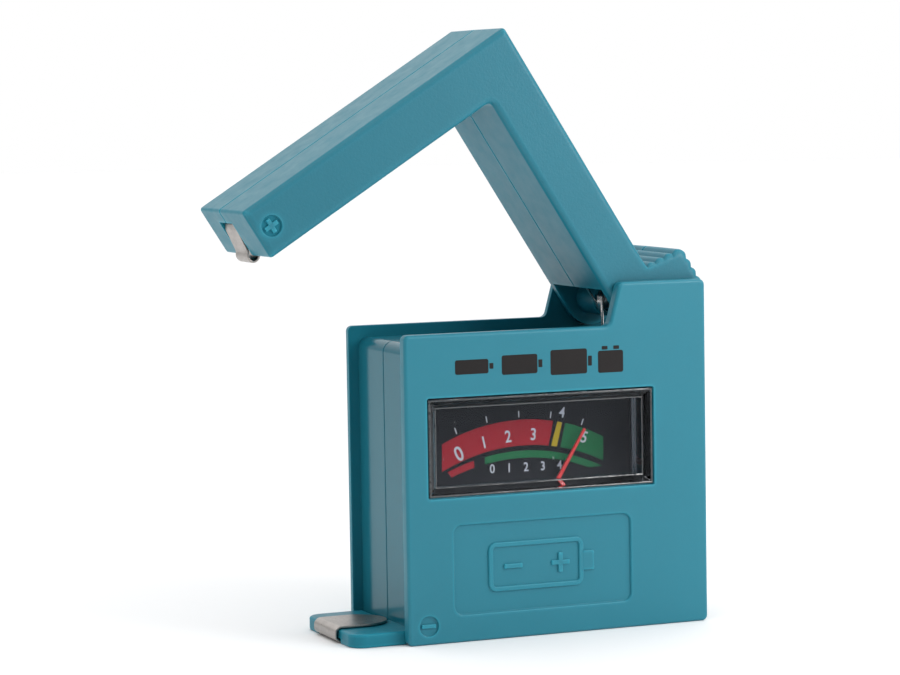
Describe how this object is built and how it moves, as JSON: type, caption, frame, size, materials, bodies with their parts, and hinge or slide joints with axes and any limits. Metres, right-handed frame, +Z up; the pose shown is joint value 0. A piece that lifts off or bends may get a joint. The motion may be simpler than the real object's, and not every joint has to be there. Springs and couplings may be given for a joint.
{
  "type": "battery tester",
  "caption": "Pocket analogue battery tester: a flat case with a dial window, and a sprung L-shaped arm that grips a cell between its tip and the foot of the case.",
  "frame": {"origin": "middle of the case's width and depth, on its flat base", "axes": "+Z up, the dial faces -Y, +X to the right as the dial is read; rest pose has the arm open on a cell"},
  "size_m": [0.0688, 0.023, 0.0847],
  "materials": {
    "teal_plastic": "satin moulded plastic with a fine spark texture",
    "clear_plastic": "clear moulded polystyrene",
    "black_plastic": "satin",
    "dial_print": "matt black with printed red, yellow and green bands",
    "nickel_strip": "nickel-plated spring strip",
    "steel": "plated",
    "spring_steel": "bright wire",
    "brass": "stamped",
    "hairspring_bronze": "ribbon",
    "enamelled_copper": "enamelled wire",
    "aluminium": "turned",
    "magnet_alloy": "cast",
    "pointer_red": "red enamel",
    "board_phenolic": "phenolic laminate",
    "resistor_body": "lacquered",
    "lead_red": "insulated wire",
    "lead_white": "insulated wire"
  },
  "bodies": {
    "case": {"front_cover": "teal_plastic", "rear_cover": "teal_plastic", "case_screw_1": "steel", "case_screw_2": "steel", "case_screw_3": "steel", "negative_contact": "nickel_strip", "nine_volt_contact_lower": "nickel_strip", "nine_volt_contact_upper": "nickel_strip", "hinge_pin": "steel", "torsion_spring": "spring_steel", "window_lens": "clear_plastic", "dial_plate": "dial_print", "meter_frame": "black_plastic", "meter_magnet": "magnet_alloy", "meter_core": "steel", "front_bridge": "brass", "rear_bridge": "brass", "front_jewel": "brass", "rear_jewel": "brass", "zero_adjuster": "brass", "hairspring_front": "hairspring_bronze", "hairspring_rear": "hairspring_bronze", "circuit_board": "board_phenolic", "load_resistor_1": "resistor_body", "load_resistor_2": "resistor_body", "lead_negative": "black_plastic", "lead_positive": "lead_red", "lead_meter": "lead_white", "lead_nine_volt_lower": "lead_red", "lead_nine_volt_upper": "black_plastic"},
    "arm": {"arm_front": "teal_plastic", "arm_rear": "teal_plastic", "arm_contact": "nickel_strip"},
    "pointer": {"pointer": "pointer_red", "moving_coil": "enamelled_copper", "spindle_front": "aluminium", "spindle_rear": "aluminium", "balance_weight": "brass"}
  },
  "joints": [
    {"name": "arm_pivot", "type": "hinge", "parent": "case", "child": "arm", "pos_m": [0.01443, 0, 0.0456], "axis": [0, 1, 0], "range_deg": [-57.2, 14], "stiffness_Nm_per_rad": 0.02, "springref_deg": -74.48, "deforming": ["torsion_spring"]},
    {"name": "pointer_pivot", "type": "hinge", "parent": "case", "child": "pointer", "pos_m": [-0.00257, 0, 0.0133], "axis": [0, 1, 0], "range_deg": [-77.6, 14.4], "stiffness_Nm_per_rad": 0.00002, "springref_deg": -77.58, "deforming": ["hairspring_front", "hairspring_rear"]}
  ]
}
